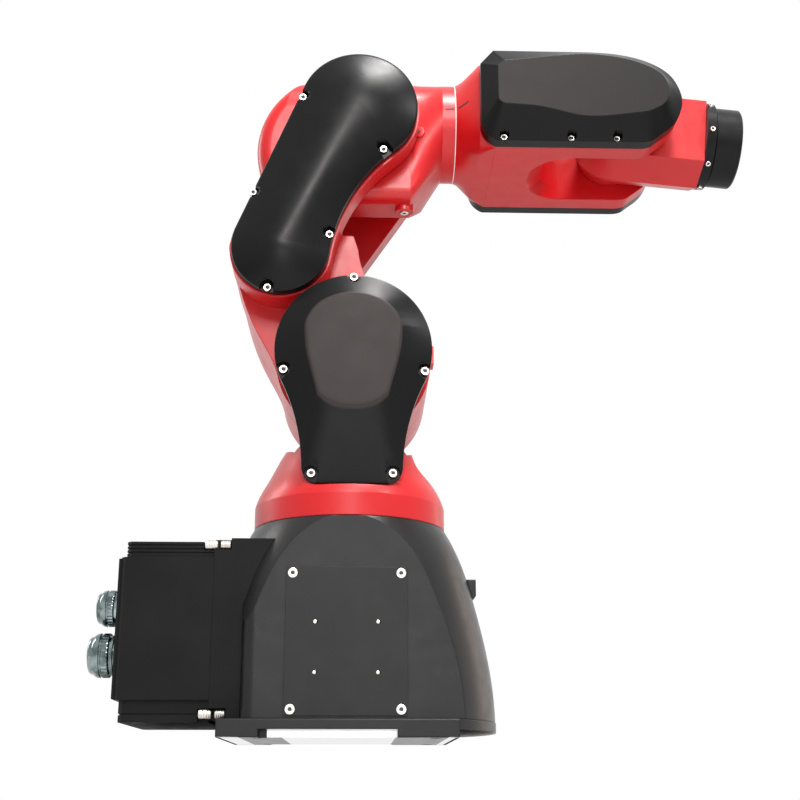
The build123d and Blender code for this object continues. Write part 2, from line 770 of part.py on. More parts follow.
def tool_flange():
    start = snout_end + flange_ring_length + running_gap
    end = start + tool_flange_length
    flange = wrist_rod(tool_flange_r, start, end)
    rims = flange.edges().filter_by(GeomType.CIRCLE)
    flange = chamfer(rims, tool_flange_chamfer)
    flange -= wrist_rod(tool_bore_r, end - tool_bore_depth, end)
    for angle in range(45, 405, 90):
        spot = polar((0, 0), tool_pitch_circle / 2, angle)
        hole = wrist_plane(end - tool_hole_depth) * Pos(*spot) * Circle(tool_hole_r)
        flange -= extrude(hole, amount=tool_hole_depth)
    return flange


parts = {
    "base_plate": base_plate(),
    "base_housing": base_housing(),
    "side_panel_right": side_panel(-1),
    "side_panel_left": side_panel(1),
    "connector_box": connector_box(),
    "box_neck": box_neck(),
    "box_end_plate": box_end_plate(),
    "box_clamp_screws": clamp_screws(),
    "plug_connector_upper": connector(connector_upper),
    "plug_connector_lower": connector(connector_lower),
    "front_lug": front_lug(),
    "waist_bearing": waist_bearing(),
    "turret_casting": turret_body(),
    "shoulder_cover": shoulder_cover(),
    "shoulder_shaft": shoulder_shaft(),
    "upper_arm_casting": upper_arm_casting(),
    "belt_cover": belt_cover(),
    "shoulder_cap": far_cap(shoulder, hub_r - hub_cap_margin, hub_far_y, hub_cap_height),
    "far_lug": far_lug(),
    "elbow_cap": far_cap(elbow, far_lug_r - elbow_cap_margin, far_lug_outer_y, elbow_cap_height),
    "elbow_shaft": elbow_shaft(),
    "elbow_casting": elbow_casting(),
    "forearm_bearing": forearm_bearing(),
    "forearm_casting": forearm_casting(),
    "forearm_cover_right": forearm_cover(-1),
    "forearm_cover_left": forearm_cover(1),
    "wrist_pin_right": wrist_pin(-1),
    "wrist_pin_left": wrist_pin(1),
    "wrist_housing": wrist_housing(),
    "wrist_flange_ring": flange_ring(),
    "flange_shaft": flange_shaft(),
    "tool_flange": tool_flange(),
}

os.makedirs("parts", exist_ok=True)
for name, part in parts.items():
    export_step(part, f"parts/{name}.step")
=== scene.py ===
import math
import bpy
import numpy as np
from mathutils import Matrix


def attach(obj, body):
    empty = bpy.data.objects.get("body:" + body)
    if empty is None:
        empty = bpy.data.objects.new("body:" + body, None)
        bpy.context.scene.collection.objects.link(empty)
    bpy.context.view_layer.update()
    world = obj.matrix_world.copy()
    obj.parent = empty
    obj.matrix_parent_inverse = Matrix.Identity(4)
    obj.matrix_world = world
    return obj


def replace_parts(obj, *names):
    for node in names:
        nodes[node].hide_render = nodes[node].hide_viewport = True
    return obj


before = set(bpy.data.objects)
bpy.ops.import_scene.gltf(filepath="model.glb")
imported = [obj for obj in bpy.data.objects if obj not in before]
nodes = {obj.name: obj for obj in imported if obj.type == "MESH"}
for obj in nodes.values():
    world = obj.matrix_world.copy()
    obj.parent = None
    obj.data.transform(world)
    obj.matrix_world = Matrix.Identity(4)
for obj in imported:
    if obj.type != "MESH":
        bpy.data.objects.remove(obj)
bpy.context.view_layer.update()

# looks of a red and black six-axis robot arm, in metres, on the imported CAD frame
print("frame loaded:", len(nodes), "nodes")


# materials: every pattern reads Object coordinates, and a linked socket's own number isn't used

def startMaterial(name, color, rough=0.5, metal=0.0):
    mat = bpy.data.materials.new(name)
    mat.use_nodes = True
    tree = mat.node_tree
    shader = tree.nodes["Principled BSDF"]
    shader.inputs["Base Color"].default_value = (*color, 1)
    shader.inputs["Roughness"].default_value = rough
    shader.inputs["Metallic"].default_value = metal
    coords = tree.nodes.new("ShaderNodeTexCoord").outputs["Object"]
    return mat, tree, shader, coords


def feed(tree, socket, value):
    # a number or a colour is set on the socket, and another node's output is linked to it
    if isinstance(value, float):
        socket.default_value = value
    elif isinstance(value, tuple):
        socket.default_value = (*value, 1)
    else:
        tree.links.new(value, socket)


def coverSurface(tree, shader, color, rough):
    feed(tree, shader.inputs["Base Color"], color)
    feed(tree, shader.inputs["Roughness"], rough)


def addNoise(tree, coords, scale, detail=3.0):
    noise = tree.nodes.new("ShaderNodeTexNoise")
    noise.inputs["Scale"].default_value = scale
    noise.inputs["Detail"].default_value = detail
    tree.links.new(coords, noise.inputs["Vector"])
    return noise.outputs["Fac"]


def spreadValue(tree, value, low=0.0, high=1.0, start=0.3, end=0.7):
    # low up to start, high from end on, and a straight run between; a noise lies mostly within 0.3 to 0.7
    spread = tree.nodes.new("ShaderNodeMapRange")
    for slot, number in zip(("From Min", "From Max", "To Min", "To Max"), (start, end, low, high)):
        spread.inputs[slot].default_value = number
    tree.links.new(value, spread.inputs["Value"])
    return spread.outputs["Result"]


def mathStep(tree, value, operation, other=0.0):
    step = tree.nodes.new("ShaderNodeMath")
    step.operation = operation
    tree.links.new(value, step.inputs[0])
    feed(tree, step.inputs[1], other)
    return step.outputs[0]


def splitAxes(tree, coords):
    axes = tree.nodes.new("ShaderNodeSeparateXYZ")
    tree.links.new(coords, axes.inputs["Vector"])
    return axes.outputs["X"], axes.outputs["Y"], axes.outputs["Z"]


def mixTwo(tree, factor, first, second, kind, slots):
    # slots are the node's numbers for the first value, the second value and the result of that kind
    mix = tree.nodes.new("ShaderNodeMix")
    mix.data_type = kind
    tree.links.new(factor, mix.inputs["Factor"])
    feed(tree, mix.inputs[slots[0]], first)
    feed(tree, mix.inputs[slots[1]], second)
    return mix.outputs[slots[2]]


def mixColors(tree, factor, first, second):
    return mixTwo(tree, factor, first, second, "RGBA", (6, 7, 2))


def mixNumbers(tree, factor, first, second):
    return mixTwo(tree, factor, first, second, "FLOAT", (2, 3, 0))


cornerSamples = 4  # more of them make the softened corners smoother and the render slower


def addBump(tree, shader, value, strength, depth, edge=0.0):
    # depth is in metres, and edge is the radius of the softened corners that the light catches
    bump = tree.nodes.new("ShaderNodeBump")
    bump.inputs["Strength"].default_value = strength
    bump.inputs["Distance"].default_value = depth
    tree.links.new(value, bump.inputs["Height"])
    if edge:
        corner = tree.nodes.new("ShaderNodeBevel")
        corner.samples = cornerSamples
        corner.inputs["Radius"].default_value = edge
        tree.links.new(corner.outputs["Normal"], bump.inputs["Normal"])
    tree.links.new(bump.outputs["Normal"], shader.inputs["Normal"])


# baked enamel on the castings: a faint orange peel and a slow drift of tone; peel is (strength, depth)
redLook = {"deep": (0.46, 0.004, 0.006), "bright": (0.54, 0.006, 0.009), "driftScale": 9.0,
           "rough": (0.32, 0.42), "cloudScale": 60.0, "peel": (0.35, 0.00005), "peelScale": 900.0,
           "specular": 0.45, "coat": 0.12, "coatRough": 0.16, "edge": 0.0016}


def redPaint(name):
    mat, tree, shader, coords = startMaterial(name, redLook["bright"])
    drift = spreadValue(tree, addNoise(tree, coords, redLook["driftScale"], 2.0))
    cloud = addNoise(tree, coords, redLook["cloudScale"])
    coverSurface(tree, shader, mixColors(tree, drift, redLook["deep"], redLook["bright"]),
                 spreadValue(tree, cloud, *redLook["rough"]))
    peel = addNoise(tree, coords, redLook["peelScale"], 2.0)
    addBump(tree, shader, peel, *redLook["peel"], redLook["edge"])
    shader.inputs["Specular IOR Level"].default_value = redLook["specular"]
    shader.inputs["Coat Weight"].default_value = redLook["coat"]
    shader.inputs["Coat Roughness"].default_value = redLook["coatRough"]
    return mat


# moulded black plastic, with a matt grained panel where |y| is past panelY; tone is the panel's share of
# the panel colour, step is how far under panelY the change starts and ends, and grains are (strength, depth)
coverLook = {"base": (0.0026, 0.0028, 0.003), "lighter": 1.35, "driftScale": 14.0, "rough": (0.27, 0.35),
             "cloudScale": 45.0, "grain": (0.22, 0.00006), "grainScale": 2600.0, "specular": 0.17,
             "panel": (0.027, 0.0225, 0.0215), "panelRough": (0.42, 0.5), "panelGrain": (0.4, 0.00006),
             "besidePanel": 0.4, "step": (0.0006, 0.0002)}
coverPanels = {
    "beltPlastic": {"panelY": None, "tone": 1.0, "edge": 0.0},
    "shoulderPlastic": {"panelY": 0.095, "tone": 1.0, "edge": 0.0},
    "forearmPlastic": {"panelY": 0.1035, "tone": 0.3, "edge": 0.0012},
}


def blackPlastic(name):
    cover, base = coverPanels[name], coverLook["base"]
    mat, tree, shader, coords = startMaterial(name, base)
    shader.inputs["Specular IOR Level"].default_value = coverLook["specular"]
    cloud = addNoise(tree, coords, coverLook["cloudScale"])
    gloss = spreadValue(tree, cloud, *coverLook["rough"])
    grain = addNoise(tree, coords, coverLook["grainScale"], 2.0)
    if cover["panelY"] is None:
        drift = spreadValue(tree, addNoise(tree, coords, coverLook["driftScale"]))
        lighter = tuple(coverLook["lighter"] * c for c in base)
        coverSurface(tree, shader, mixColors(tree, drift, base, lighter), gloss)
        addBump(tree, shader, grain, *coverLook["grain"], cover["edge"])
        return mat
    # the panel's mask: 1 where |y| passes the height of the face
    reach = mathStep(tree, splitAxes(tree, coords)[1], "ABSOLUTE")
    mask = spreadValue(tree, reach, 0.0, 1.0, *(cover["panelY"] - under for under in coverLook["step"]))
    face = tuple(cover["tone"] * c for c in coverLook["panel"])
    matt = spreadValue(tree, cloud, *coverLook["panelRough"])
    coverSurface(tree, shader, mixColors(tree, mask, base, face), mixNumbers(tree, mask, gloss, matt))
    deeper = mathStep(tree, grain, "MULTIPLY", mixNumbers(tree, mask, coverLook["besidePanel"], 1.0))
    addBump(tree, shader, deeper, *coverLook["panelGrain"], cover["edge"])
    return mat


# powder coat and plain paint on the base, the box and the flange
coatLooks = {
    "basePaint": {"base": (0.008, 0.008, 0.0081), "light": (0.012, 0.0118, 0.0118), "rough": (0.27, 0.35),
                  "grainScale": 1500.0, "specular": 0.26, "edge": 0.002},
    "panelPaint": {"base": (0.0115, 0.0115, 0.0116), "light": (0.0155, 0.0155, 0.0156), "rough": (0.34, 0.42),
                   "grainScale": 1800.0, "specular": 0.22, "edge": 0.0007},
    "boxPaint": {"base": (0.0045, 0.0045, 0.0045), "light": (0.009, 0.009, 0.009), "rough": (0.4, 0.5),
                 "grainScale": 1500.0, "specular": 0.1, "edge": 0.0008},
    "flangeAnodised": {"base": (0.004, 0.004, 0.0045), "light": (0.008, 0.008, 0.0085),
                       "rough": (0.28, 0.36), "grainScale": 3000.0, "specular": 0.16, "edge": 0.0008},
}
coatLayer = {"driftScale": 12.0, "cloudScale": 70.0, "grain": (0.3, 0.00008)}


def addCoat(tree, shader, coords, look):
    # lays the coat's grain and shine on the shader, and gives back its colour and its roughness
    shader.inputs["Specular IOR Level"].default_value = look["specular"]
    grain = addNoise(tree, coords, look["grainScale"], 2.0)
    addBump(tree, shader, grain, *coatLayer["grain"], look["edge"])
    drift = spreadValue(tree, addNoise(tree, coords, coatLayer["driftScale"]))
    cloud = addNoise(tree, coords, coatLayer["cloudScale"])
    return mixColors(tree, drift, look["base"], look["light"]), spreadValue(tree, cloud, *look["rough"])


def blackCoat(name):
    look = coatLooks[name]
    mat, tree, shader, coords = startMaterial(name, look["base"])
    coverSurface(tree, shader, *addCoat(tree, shader, coords, look))
    return mat


# the base's foot: its paint is on two bars that the base stands on, and the machined underside between them
# and the walls of the slot are bare steel; bars and slot are (middle, half) in x
footLook = {"bars": ((-0.076, 0.019), (0.0667, 0.0235)), "slot": (-0.0125, 0.058), "insideY": 0.0995,
            "slotZ": 0.0071, "soleZ": 0.0002, "steel": (0.8, 0.8, 0.8), "rough": 0.3}


def footPaint(name):
    paint = coatLooks["basePaint"]
    mat, tree, shader, coords = startMaterial(name, paint["base"])
    x, y, z = splitAxes(tree, coords)

    def both(first, second):
        return mathStep(tree, first, "MULTIPLY", second)

    def either(first, second):
        return mathStep(tree, first, "MAXIMUM", second)

    def within(span):
        aside = mathStep(tree, mathStep(tree, x, "SUBTRACT", span[0]), "ABSOLUTE")
        return mathStep(tree, aside, "LESS_THAN", span[1])

    offBars = mathStep(tree, either(*(within(bar) for bar in footLook["bars"])), "LESS_THAN", 0.5)
    sole = both(offBars, mathStep(tree, z, "LESS_THAN", footLook["soleZ"]))
    height = both(mathStep(tree, z, "LESS_THAN", footLook["slotZ"]),
                  mathStep(tree, z, "GREATER_THAN", footLook["soleZ"]))
    inner = mathStep(tree, mathStep(tree, y, "ABSOLUTE"), "LESS_THAN", footLook["insideY"])
    bare = either(both(both(height, inner), within(footLook["slot"])), sole)
    color, rough = addCoat(tree, shader, coords, paint)
    coverSurface(tree, shader, mixColors(tree, bare, color, footLook["steel"]),
                 mixNumbers(tree, bare, rough, footLook["rough"]))
    tree.links.new(bare, shader.inputs["Metallic"])
    return mat


# bare metals: fine turning marks and a few smears; on the plated connector the dark patches are painted
# reflection of dark surroundings
metalLooks = {
    "clampSteel": {"base": (0.74, 0.72, 0.67), "dark": (0.5, 0.48, 0.44), "rough": (0.26, 0.4),
                   "marksScale": 900.0},
    "turnedSteel": {"base": (0.56, 0.56, 0.57), "dark": (0.4, 0.4, 0.41), "rough": (0.22, 0.34),
                    "marksScale": 700.0},
    "screwSteel": {"base": (0.82, 0.8, 0.76), "dark": (0.68, 0.66, 0.62), "rough": (0.2, 0.3),
                   "marksScale": 1400.0},
    # the plated connector's dark colour is painted reflection: its near-black patches stand for dark
    # surroundings mirrored in the plating
    "platedConnector": {"base": (0.34, 0.42, 0.42), "dark": (0.06, 0.08, 0.08), "rough": (0.05, 0.14),
                        "marksScale": 500.0},
}
metalLayer = {"smearAndReflectionScale": 90.0, "grain": (0.15, 0.00003)}


def bareMetal(name):
    look = metalLooks[name]
    mat, tree, shader, coords = startMaterial(name, look["base"], metal=1.0)
    smearAndPaintedReflection = spreadValue(tree, addNoise(tree, coords, metalLayer["smearAndReflectionScale"]))
    marks = addNoise(tree, coords, look["marksScale"])
    coverSurface(tree, shader, mixColors(tree, smearAndPaintedReflection, look["base"], look["dark"]),
                 spreadValue(tree, marks, *look["rough"]))
    addBump(tree, shader, addNoise(tree, coords, look["marksScale"], 1.0), *metalLayer["grain"])
    return mat


# printed or rubbery matter, and dark discs of painted shade at the floors of the screw sockets and on the
# elbow pin's hole; its dust colour is keep times the plain colour, plus lift
inkLooks = {"markInkAndPaintedShade": (0.012, 0.012, 0.012), "socketPaintedShade": (0.03, 0.028, 0.026),
            "paleSeal": (0.78, 0.74, 0.73)}
inkLayer = {"rough": 0.6, "keep": 0.9, "lift": 0.02, "dustScale": 400.0, "grain": (0.2, 0.00004),
            "grainScale": 1600.0}


def flatInk(name):
    color = inkLooks[name]
    mat, tree, shader, coords = startMaterial(name, color, inkLayer["rough"])
    dust = spreadValue(tree, addNoise(tree, coords, inkLayer["dustScale"]))
    dusty = tuple(inkLayer["lift"] + inkLayer["keep"] * c for c in color)
    feed(tree, shader.inputs["Base Color"], mixColors(tree, dust, color, dusty))
    addBump(tree, shader, addNoise(tree, coords, inkLayer["grainScale"]), *inkLayer["grain"])
    return mat


looks = {}
for make, names in ((blackCoat, coatLooks), (bareMetal, metalLooks), (footPaint, ["footPaint"]),
                    (redPaint, ["redPaint"]), (blackPlastic, coverPanels), (flatInk, inkLooks)):
    looks.update({name: make(name) for name in names})
print("materials made:", len(looks))

nodeLooks = {
    "basePaint": ["base_housing", "front_lug"],
    "footPaint": ["base_plate"],
    "panelPaint": ["side_panel_right", "side_panel_left"],
    "boxPaint": ["connector_box", "box_neck", "box_end_plate"],
    "flangeAnodised": ["wrist_flange_ring", "tool_flange"],
    "turnedSteel": ["waist_bearing", "shoulder_shaft", "elbow_shaft", "forearm_bearing", "wrist_pin_right",
                    "wrist_pin_left", "flange_shaft"],
    "screwSteel": ["box_clamp_screws"],
    "platedConnector": ["plug_connector_upper", "plug_connector_lower"],
    "beltPlastic": ["belt_cover"],
    "shoulderPlastic": ["shoulder_cover"],
    "forearmPlastic": ["forearm_cover_right", "forearm_cover_left"],
    "redPaint": ["turret_casting", "upper_arm_casting", "far_lug", "shoulder_cap", "elbow_cap",
                 "elbow_casting", "forearm_casting", "wrist_housing"],
}
for look, names in nodeLooks.items():
    for name in names:
        mesh = nodes[name].data
        mesh.materials.clear()
        mesh.materials.append(looks[look])
print("frame nodes dressed")


# mesh helpers

def gridFaces(rows, columns, wrapRows=False, wrapColumns=False):
    # quads between neighbours of a rows x columns grid of points, with either way closed on itself
    r = np.arange(rows if wrapRows else rows - 1)
    c = np.arange(columns if wrapColumns else columns - 1)
    a, b = np.meshgrid(r, c, indexing="ij")
    a2, b2 = (a + 1) % rows, (b + 1) % columns
    quads = np.stack([a * columns + b, a * columns + b2, a2 * columns + b2, a2 * columns + b], -1)
    return quads.reshape(-1, 4)


def weldPoints(points, quads, triangles=None):
    # points that share a place become one; a quad that loses a corner becomes a triangle
    kept, back = np.unique(np.round(points, 7), axis=0, return_inverse=True)
    back = back.ravel()
    quads = back[quads]
    folded = quads == np.roll(quads, -1, axis=1)
    whole = quads[folded.sum(1) == 0]
    bent = folded.sum(1) == 1
    corners = quads[bent][~folded[bent]].reshape(-1, 3)
    if triangles is not None:
        corners = np.concatenate([corners, back[triangles]])
    ends = np.sort(corners, axis=1)
    corners = corners[(ends[:, 0] != ends[:, 1]) & (ends[:, 1] != ends[:, 2])]
    return kept, whole, corners


def turnOutward(points, quads, triangles):
    # the signed volume of the closed shell is the sum of a . (b x c) / 6; a negative one is turned over
    corners = np.concatenate([quads[:, [0, 1, 2]], quads[:, [0, 2, 3]], triangles])
    a, b, c = points[corners[:, 0]], points[corners[:, 1]], points[corners[:, 2]]
    if np.einsum("ij,ij->i", a - points[0], np.cross(b - points[0], c - points[0])).sum() < 0:
        return quads[:, ::-1], triangles[:, ::-1]
    return quads, triangles


def buildPiece(name, points, quads, look, body, triangles=None, sharp=32):
    # points is (n, 3) in metres; quads and triangles are index arrays of one closed shell or several;
    # edges that turn by more than sharp, in degrees, stay crisp
    points, quads, triangles = weldPoints(points, quads, triangles)
    quads, triangles = turnOutward(points, quads, triangles)
    mesh = bpy.data.meshes.new(name)
    mesh.vertices.add(len(points))
    mesh.vertices.foreach_set("co", np.asarray(points, dtype=np.float32).ravel())
    loops = np.concatenate([quads.ravel(), triangles.ravel()])
    starts = np.concatenate([np.arange(len(quads)) * 4, len(quads) * 4 + np.arange(len(triangles)) * 3])
    totals = np.concatenate([np.full(len(quads), 4), np.full(len(triangles), 3)])
    mesh.loops.add(len(loops))
    mesh.loops.foreach_set("vertex_index", loops.astype(np.int32))
    mesh.polygons.add(len(starts))
    mesh.polygons.foreach_set("loop_start", starts.astype(np.int32))
    mesh.polygons.foreach_set("loop_total", totals.astype(np.int32))
    mesh.update(calc_edges=True)
    mesh.validate()
    mesh.polygons.foreach_set("use_smooth", np.full(len(starts), True))
    mesh.set_sharp_from_angle(angle=math.radians(sharp))
    piece = bpy.data.objects.new(name, mesh)
    bpy.context.scene.collection.objects.link(piece)
    mesh.materials.append(looks[look])
    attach(piece, body)
    return piece


def axesAlong(direction):
    # two unit vectors square to a direction, and the direction itself
    along = np.asarray(direction, float)
    along = along / np.linalg.norm(along)
    helper = np.array([0.0, 0.0, 1.0]) if abs(along[2]) < 0.9 else np.array([1.0, 0.0, 0.0])
    across = np.cross(helper, along)
    across /= np.linalg.norm(across)
    return across, np.cross(along, across), along


def turnedCopies(profile, places, directions, segments, hexRows=()):
    # a profile of (radius, height) turned once round its axis and closed at both ends, one copy at each place
    # point = place + r cos(t) across + r sin(t) up + height along; rows in hexRows follow a hexagon:
    # their radius is the flat's distance divided by cos of the angle from the middle of that flat
    ring = np.arange(segments)
    nextOne = (ring + 1) % segments
    angle = ring * 2 * math.pi / segments
    radius = np.repeat(np.array([p[0] for p in profile])[:, None], segments, 1)
    height = np.array([p[1] for p in profile])[:, None]
    flat = (angle % (math.pi / 3)) - math.pi / 6
    rows = np.array(hexRows, int)
    radius[rows] = radius[rows] / np.cos(flat)
    size = len(profile) * segments + 2
    low, high, last = size - 2, size - 1, (len(profile) - 1) * segments
    sides = gridFaces(len(profile), segments, wrapColumns=True)
    fans = np.concatenate([np.stack([ring, np.full(segments, low), nextOne], 1),
                           np.stack([last + ring, last + nextOne, np.full(segments, high)], 1)])
    pointSets = []
    for place, direction in zip(places, directions):
        across, up, along = axesAlong(direction)
        shell = (np.asarray(place)[None, None, :] + (radius * np.cos(angle))[..., None] * across
                 + (radius * np.sin(angle))[..., None] * up + height[..., None] * along)
        ends = np.array([np.asarray(place) + along * profile[end][1] for end in (0, -1)])
        pointSets.append(np.concatenate([shell.reshape(-1, 3), ends]))
    shifts = size * np.arange(len(pointSets))[:, None, None]
    return np.concatenate(pointSets), (sides + shifts).reshape(-1, 4), (fans + shifts).reshape(-1, 3)


def turnedPiece(name, profile, places, directions, look, body, segments=32, hexRows=()):
    points, quads, fans = turnedCopies(profile, places, directions, segments, hexRows)
    return buildPiece(name, points, quads, look, body, triangles=fans)


def sizedProfile(shares, radius, height):
    # a profile's (share of the radius, share of the height) at its real size
    return [(radius * across, height * along) for across, along in shares]


# a screw's profile from the seat, up the side, over a rounded shoulder and down into a hexagonal socket;
# the socket's floor is a dark piece of its own, a hair above the steel, painted shade for the socket's depth
screwForm = {"head": [(0.98, 0), (1, 0.12), (1, 0.68), (0.95, 0.9), (0.86, 1), (0.66, 1)],
             "socket": [(1.1, 0.93), (1, 0.9), (1, 0.4)], "socketRows": (7, 8), "segments": 30,
             "floor": [(0.9, 0.38), (0.98, 0.76)], "floorRows": (0, 1), "floorSegments": 24}


def screwSet(name, spec, body, places, directions):
    profile = sizedProfile(screwForm["head"], spec["head"], spec["height"])
    profile += sizedProfile(screwForm["socket"], spec["socket"], spec["height"])
    turnedPiece(name, profile, places, directions, "screwSteel", body, screwForm["segments"],
                screwForm["socketRows"])
    # the dark disc at each socket's floor is painted shade
    floor = sizedProfile(screwForm["floor"], spec["socket"], spec["height"])
    turnedPiece(name + "PaintedSocketShade", floor, places, directions, "socketPaintedShade", body,
                screwForm["floorSegments"], screwForm["floorRows"])


def arcPoints(centre, r, start, end, count):
    # a circle's points from one angle to another, in degrees
    angle = np.radians(np.linspace(start, end, count))
    return np.stack([centre[0] + r * np.cos(angle), centre[1] + r * np.sin(angle)], 1)


def angleFrom(centre, point):
    # the direction of a point as seen from a centre, in degrees
    return math.degrees(math.atan2(point[1] - centre[1], point[0] - centre[0]))


def evenSteps(points, count):
    # a polyline walked in equal steps of its own length
    steps = np.concatenate([[0], np.cumsum(np.linalg.norm(np.diff(points, axis=0), axis=1))])
    at = np.linspace(0, steps[-1], count)
    return np.stack([np.interp(at, steps, points[:, k]) for k in range(points.shape[1])], 1)


def smoothThrough(controls, count, before=None, after=None, perSpan=40):
    # a Catmull-Rom curve: each span is the cubic through its ends with slopes from their neighbours
    p = np.asarray(controls, float)
    first = 2 * p[0] - p[1] if before is None else before
    last = 2 * p[-1] - p[-2] if after is None else after
    p = np.concatenate([[first], p, [last]])
    at = np.linspace(0, len(p) - 3, perSpan * (len(p) - 3) + 1)[:, None]
    k = np.minimum(at.astype(int), len(p) - 4)
    t = at - k
    a, b, c, d = (p[k[:, 0] + n] for n in range(4))
    curve = 0.5 * (2 * b + (c - a) * t + (2 * a - 5 * b + 4 * c - d) * t**2 + (3 * b - a - 3 * c + d) * t**3)
    return evenSteps(curve, count)


def coverShell(name, rings, outline, topY, cover, screws, look, body):
    # rings run from the crest of a cover out to its rim, each (points in x and z, y); a column that enters
    # a screw's notch stops at the notch's edge and drops to the screw's seat, and the wall goes from topY
    # down to the cover's own seat
    flat = np.stack([ring[0] for ring in rings])
    depth = np.stack([np.broadcast_to(ring[1], len(outline)) for ring in rings]).astype(float)
    spots = np.asarray(screws["places"])
    gap = np.linalg.norm(flat[:, :, None, :] - spots, axis=3).min(2) - cover["notch"]
    inside = gap < 0
    cut = inside.any(0)
    first = np.where(cut, inside.argmax(0), 1)
    column = np.arange(len(outline))
    before = gap[first - 1, column]
    share = np.where(cut, before / np.where(cut, before - gap[first, column], 1), 0)
    edge = flat[first - 1, column] * (1 - share)[:, None] + flat[first, column] * share[:, None]
    edgeY = depth[first - 1, column] * (1 - share) + depth[first, column] * share
    row = np.arange(len(rings))[:, None]
    past = cut & (row >= first)
    drop = np.clip((row - first + 1) / np.maximum(len(rings) - first, 1), 0, 1)
    flat = np.where(past[..., None], edge, flat)
    depth = np.where(past, edgeY * (1 - drop) + screws["seatY"] * drop, depth)
    rim = np.where(cut, screws["seatY"], topY)
    seat = np.full(len(outline), cover["seatY"])
    flat = np.concatenate([flat, [outline, outline, flat[0]]])
    depth = np.concatenate([depth, [rim, seat, seat]])
    points = np.stack([flat[..., 0], depth, flat[..., 1]], -1).reshape(-1, 3)
    quads = gridFaces(len(flat), len(outline), wrapColumns=True)
    return buildPiece(name, points, quads, look, body)


# belt cover: a pillow over two round lobes joined by a straight side and a hollow one; roundEdge is
# (in from the outline, y from the rim) from the foot of the dome to the top of the wall

beltCover = {"low": (-0.071, 0.473), "high": (0.0055, 0.6285), "lowRadius": 0.049, "highRadius": 0.0605,
             "waistRadius": 0.178, "seatY": -0.074, "rimY": -0.0845, "rise": 0.0142, "fullness": 1.75,
             "roundEdge": [(0.0011, -0.0006), (0.0006, -0.0002), (0.0002, 0.0004), (0, 0.0011)],
             "lobeSteps": 190, "sideSteps": 210, "rings": 24, "notch": 0.0064}
beltScrews = {"head": 0.0039, "height": 0.0036, "socket": 0.0017, "seatY": -0.079,
              "places": [(-0.0522, 0.639), (-0.1001, 0.5311), (-0.0827, 0.4291), (-0.0226, 0.4864),
                         (0.0309, 0.5811)]}


def twoLobes(spec, grow):
    # the straight side's normal leans by atan of the difference of the radii over the distance of the
    # centres, a hair from the true tangent's asin; the hollow circle touches both lobes, so its centre is
    # each lobe's radius plus its own away from that lobe
    low, high = np.array(spec["low"]), np.array(spec["high"])
    r1, r2, r3 = spec["lowRadius"] + grow, spec["highRadius"] + grow, spec["waistRadius"] - grow
    span = high - low
    length = math.hypot(*span)
    tangent = angleFrom(low, high) + 90 + math.degrees(math.atan2(r2 - r1, length))
    along = ((r1 + r3)**2 - (r2 + r3)**2 + length**2) / (2 * length)
    aside = math.sqrt((r1 + r3)**2 - along**2)
    unit = span / length
    waist = low + unit * along + np.array([unit[1], -unit[0]]) * aside
    lowTurn, highTurn = angleFrom(low, waist), angleFrom(high, waist)
    lowArc = arcPoints(low, r1, tangent, lowTurn + 360, spec["lobeSteps"])
    hollow = arcPoints(waist, r3, lowTurn + 180, highTurn + 180, spec["sideSteps"])
    highArc = arcPoints(high, r2, highTurn, tangent, spec["lobeSteps"])
    straight = evenSteps(np.array([highArc[-1], lowArc[0]]), spec["sideSteps"])
    return np.concatenate([straight[:-1], lowArc[:-1], hollow[:-1], highArc[:-1]])


def beltCrest(spec):
    # every column of the outline looks to its own point of the line between the two centres
    low, high = np.array(spec["low"]), np.array(spec["high"])
    share = np.linspace(0, 1, spec["sideSteps"])[:-1, None]
    turn = spec["lobeSteps"] - 1
    return np.concatenate([high + (low - high) * share, np.tile(low, (turn, 1)),
                           low + (high - low) * share, np.tile(high, (turn, 1))])


def makeBeltCover(spec, screws):
    # height over the rim = rise * (1 - s^f), with s from 0 on the crest to 1 at the foot of the dome
    outline, crest, rimY = twoLobes(spec, 0), beltCrest(spec), spec["rimY"]
    (domeIn, domeY), *bend, (wallIn, wallY) = spec["roundEdge"]
    edge = twoLobes(spec, -domeIn)
    rings = [(crest + (edge - crest) * s, rimY + domeY - spec["rise"] * (1 - s**spec["fullness"]))
             for s in np.linspace(0, 1, spec["rings"])]
    rings += [(twoLobes(spec, -inward), rimY + y) for inward, y in bend]
    return coverShell("beltShell", rings, outline, rimY + wallY, spec, screws, "beltPlastic", "upper_arm")


# shoulder cover: a keyhole outline, slanting faces and a flat panel; points are from the shoulder axis.
# A pair in panelEdge is (share of the way from the panel's centre, y), slope is (first, last, how many)
# of the shares from the panel to the rim, and lip is (in from the outline, y over the rim)

